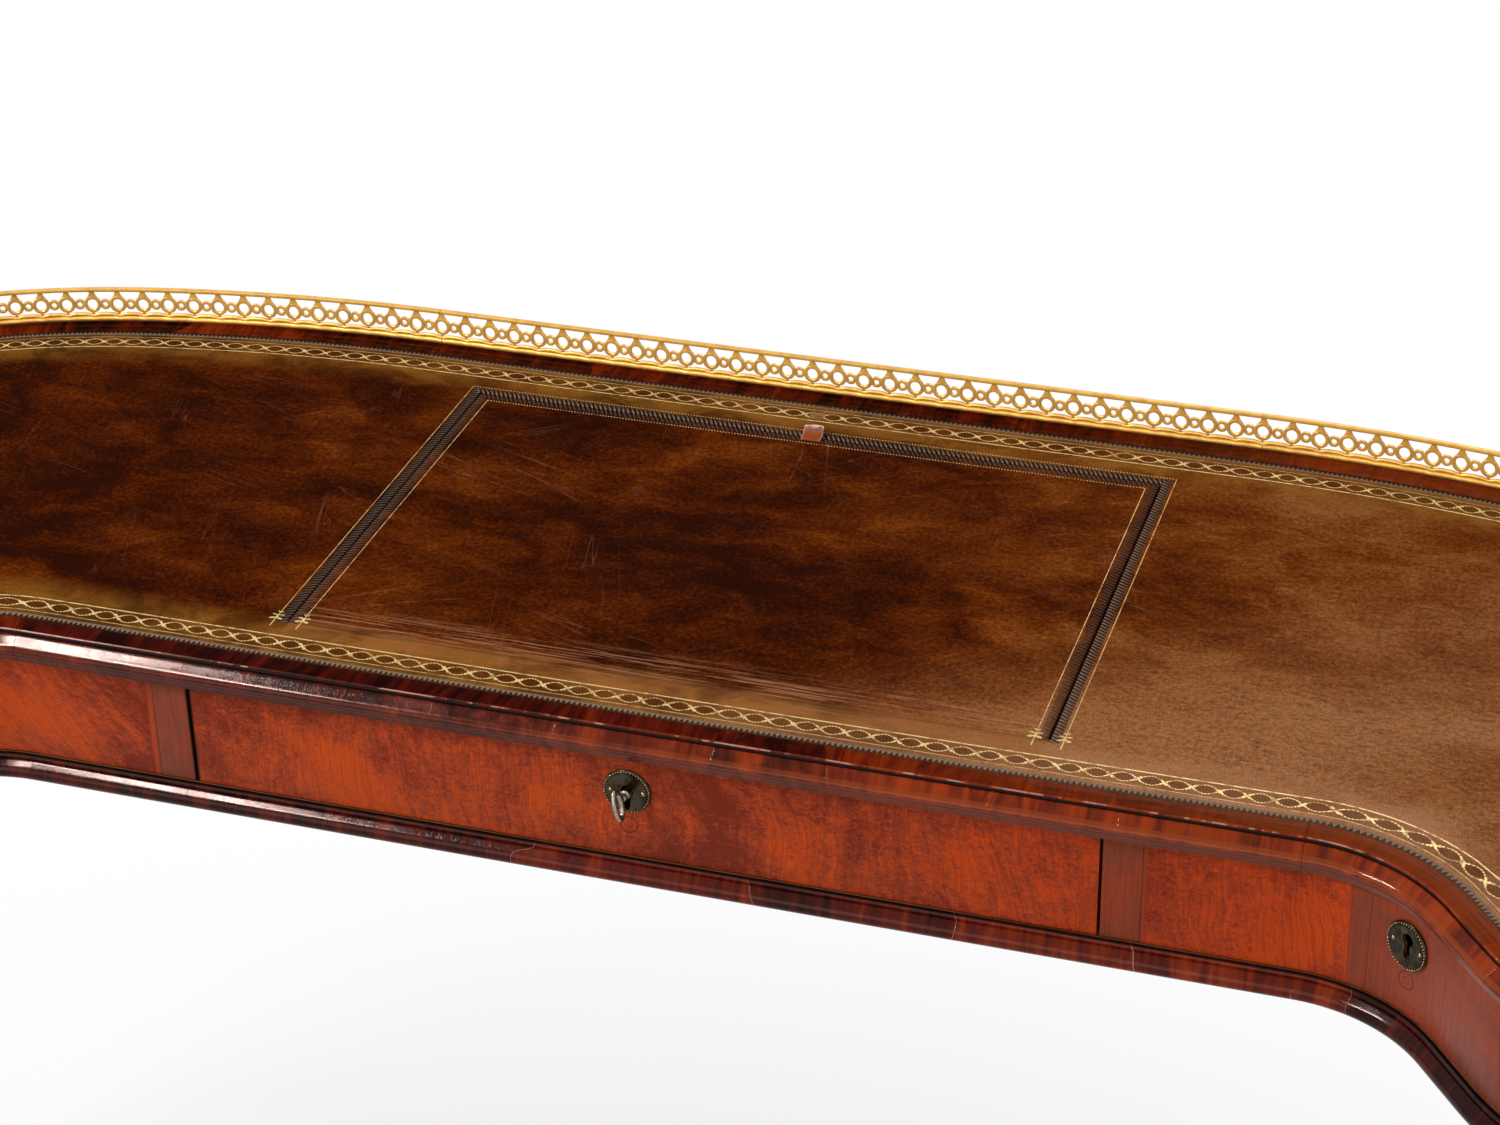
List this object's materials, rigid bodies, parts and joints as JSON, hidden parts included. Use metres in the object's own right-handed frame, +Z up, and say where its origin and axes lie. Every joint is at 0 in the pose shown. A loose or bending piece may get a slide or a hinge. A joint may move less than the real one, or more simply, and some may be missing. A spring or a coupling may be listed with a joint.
{
  "type": "reading table",
  "caption": "Kidney-shaped mahogany writing table with a leather top, a propped reading slope, frieze drawers with locks and a pierced brass gallery.",
  "frame": {"origin": "on the floor, under the middle of the table", "axes": "+Z up, +X to the sitter's right along the width, +Y away from the sitter towards the gallery"},
  "size_m": [1.5772, 0.6082, 0.7688],
  "materials": {
    "mahogany": "figured red mahogany veneer, french polished",
    "carcase_wood": "plain oiled carcase timber",
    "drawer_lining": "waxed drawer lining timber",
    "leather": "aged hide, gilt tooled",
    "tab_leather": "worn undyed leather",
    "brass": "lacquered brass",
    "bronze": "darkened pressed brass",
    "iron": "dark forged steel"
  },
  "bodies": {
    "root": {"top_board_front": "carcase_wood", "top_board_rear": "carcase_wood", "top_board_left": "carcase_wood", "top_board_right": "carcase_wood", "leather_field": "leather", "top_edge_front": "mahogany", "top_edge_back": "mahogany", "top_edge_left": "mahogany", "top_edge_right": "mahogany", "lower_moulding_front": "mahogany", "lower_moulding_back": "mahogany", "lower_moulding_left": "mahogany", "lower_moulding_right": "mahogany", "bottom_board": "carcase_wood", "back_frieze": "mahogany", "left_end_frieze": "mahogany", "partition_left": "carcase_wood", "right_end_frieze": "mahogany", "partition_right": "carcase_wood", "left_drawer_guide": "carcase_wood", "right_drawer_guide": "carcase_wood", "left_hinge_fixed_leaf": "brass", "right_hinge_fixed_leaf": "brass", "left_rack": "brass", "right_rack": "brass", "well_frame": "carcase_wood", "well_floor": "carcase_wood", "gallery_back": "brass", "gallery_left": "brass", "gallery_right": "brass", "front_left_leg": "mahogany", "rear_left_leg": "mahogany", "front_right_leg": "mahogany", "rear_right_leg": "mahogany"},
    "slope": {"slope_board": "mahogany", "slope_leather": "leather", "left_hinge_slope_leaf": "brass", "right_hinge_slope_leaf": "brass", "left_strut_bracket": "brass", "right_strut_bracket": "brass"},
    "strut": {"strut_frame": "mahogany"},
    "tab": {"pull_tab": "tab_leather"},
    "centre_drawer": {"centre_drawer_front": "mahogany", "centre_drawer_box": "drawer_lining", "centre_lock_case": "brass", "centre_keyhole_plate": "bronze"},
    "left_drawer": {"left_drawer_front": "mahogany", "left_drawer_box": "drawer_lining", "left_lock_case": "brass", "left_keyhole_plate": "bronze"},
    "right_drawer": {"right_drawer_front": "mahogany", "right_drawer_box": "drawer_lining", "right_lock_case": "brass", "right_keyhole_plate": "bronze"},
    "key": {"key": "iron"},
    "centre_bolt": {"centre_lock_bolt": "iron"},
    "left_bolt": {"left_lock_bolt": "iron"},
    "right_bolt": {"right_lock_bolt": "iron"}
  },
  "joints": [
    {"name": "slope_tilt", "type": "hinge", "parent": "root", "child": "slope", "pos_m": [0, -0.10054, 0.7366], "axis": [1, 0, 0], "range_deg": [0, 45]},
    {"name": "strut_swing", "type": "hinge", "parent": "slope", "child": "strut", "pos_m": [0, 0.05346, 0.7217], "axis": [1, 0, 0], "range_deg": [-93, 0]},
    {"name": "tab_lift", "type": "hinge", "parent": "slope", "child": "tab", "pos_m": [0, 0.21146, 0.7403], "axis": [1, 0, 0], "range_deg": [0, 80]},
    {"name": "centre_drawer_slide", "type": "slide", "parent": "root", "child": "centre_drawer", "axis": [0, -1, 0], "range_m": [0, 0.25]},
    {"name": "left_drawer_slide", "type": "slide", "parent": "root", "child": "left_drawer", "axis": [0, -1, 0], "range_m": [0, 0.2]},
    {"name": "right_drawer_slide", "type": "slide", "parent": "root", "child": "right_drawer", "axis": [0, -1, 0], "range_m": [0, 0.2]},
    {"name": "key_turn", "type": "hinge", "parent": "centre_drawer", "child": "key", "pos_m": [0, -0.15854, 0.6945], "axis": [0, 1, 0], "range_deg": [0, 180]},
    {"name": "centre_bolt_slide", "type": "slide", "parent": "centre_drawer", "child": "centre_bolt", "axis": [0, 0, 1], "range_m": [0, 0.006]},
    {"name": "left_bolt_slide", "type": "slide", "parent": "left_drawer", "child": "left_bolt", "axis": [0, 0, 1], "range_m": [0, 0.006]},
    {"name": "right_bolt_slide", "type": "slide", "parent": "right_drawer", "child": "right_bolt", "axis": [0, 0, 1], "range_m": [0, 0.006]}
  ],
  "couplings": [
    {"joint": "strut_swing", "follows": "slope_tilt", "ratio": -2.03},
    {"joint": "key_turn", "follows": "centre_bolt_slide", "rad_per_m": 523.5}
  ]
}
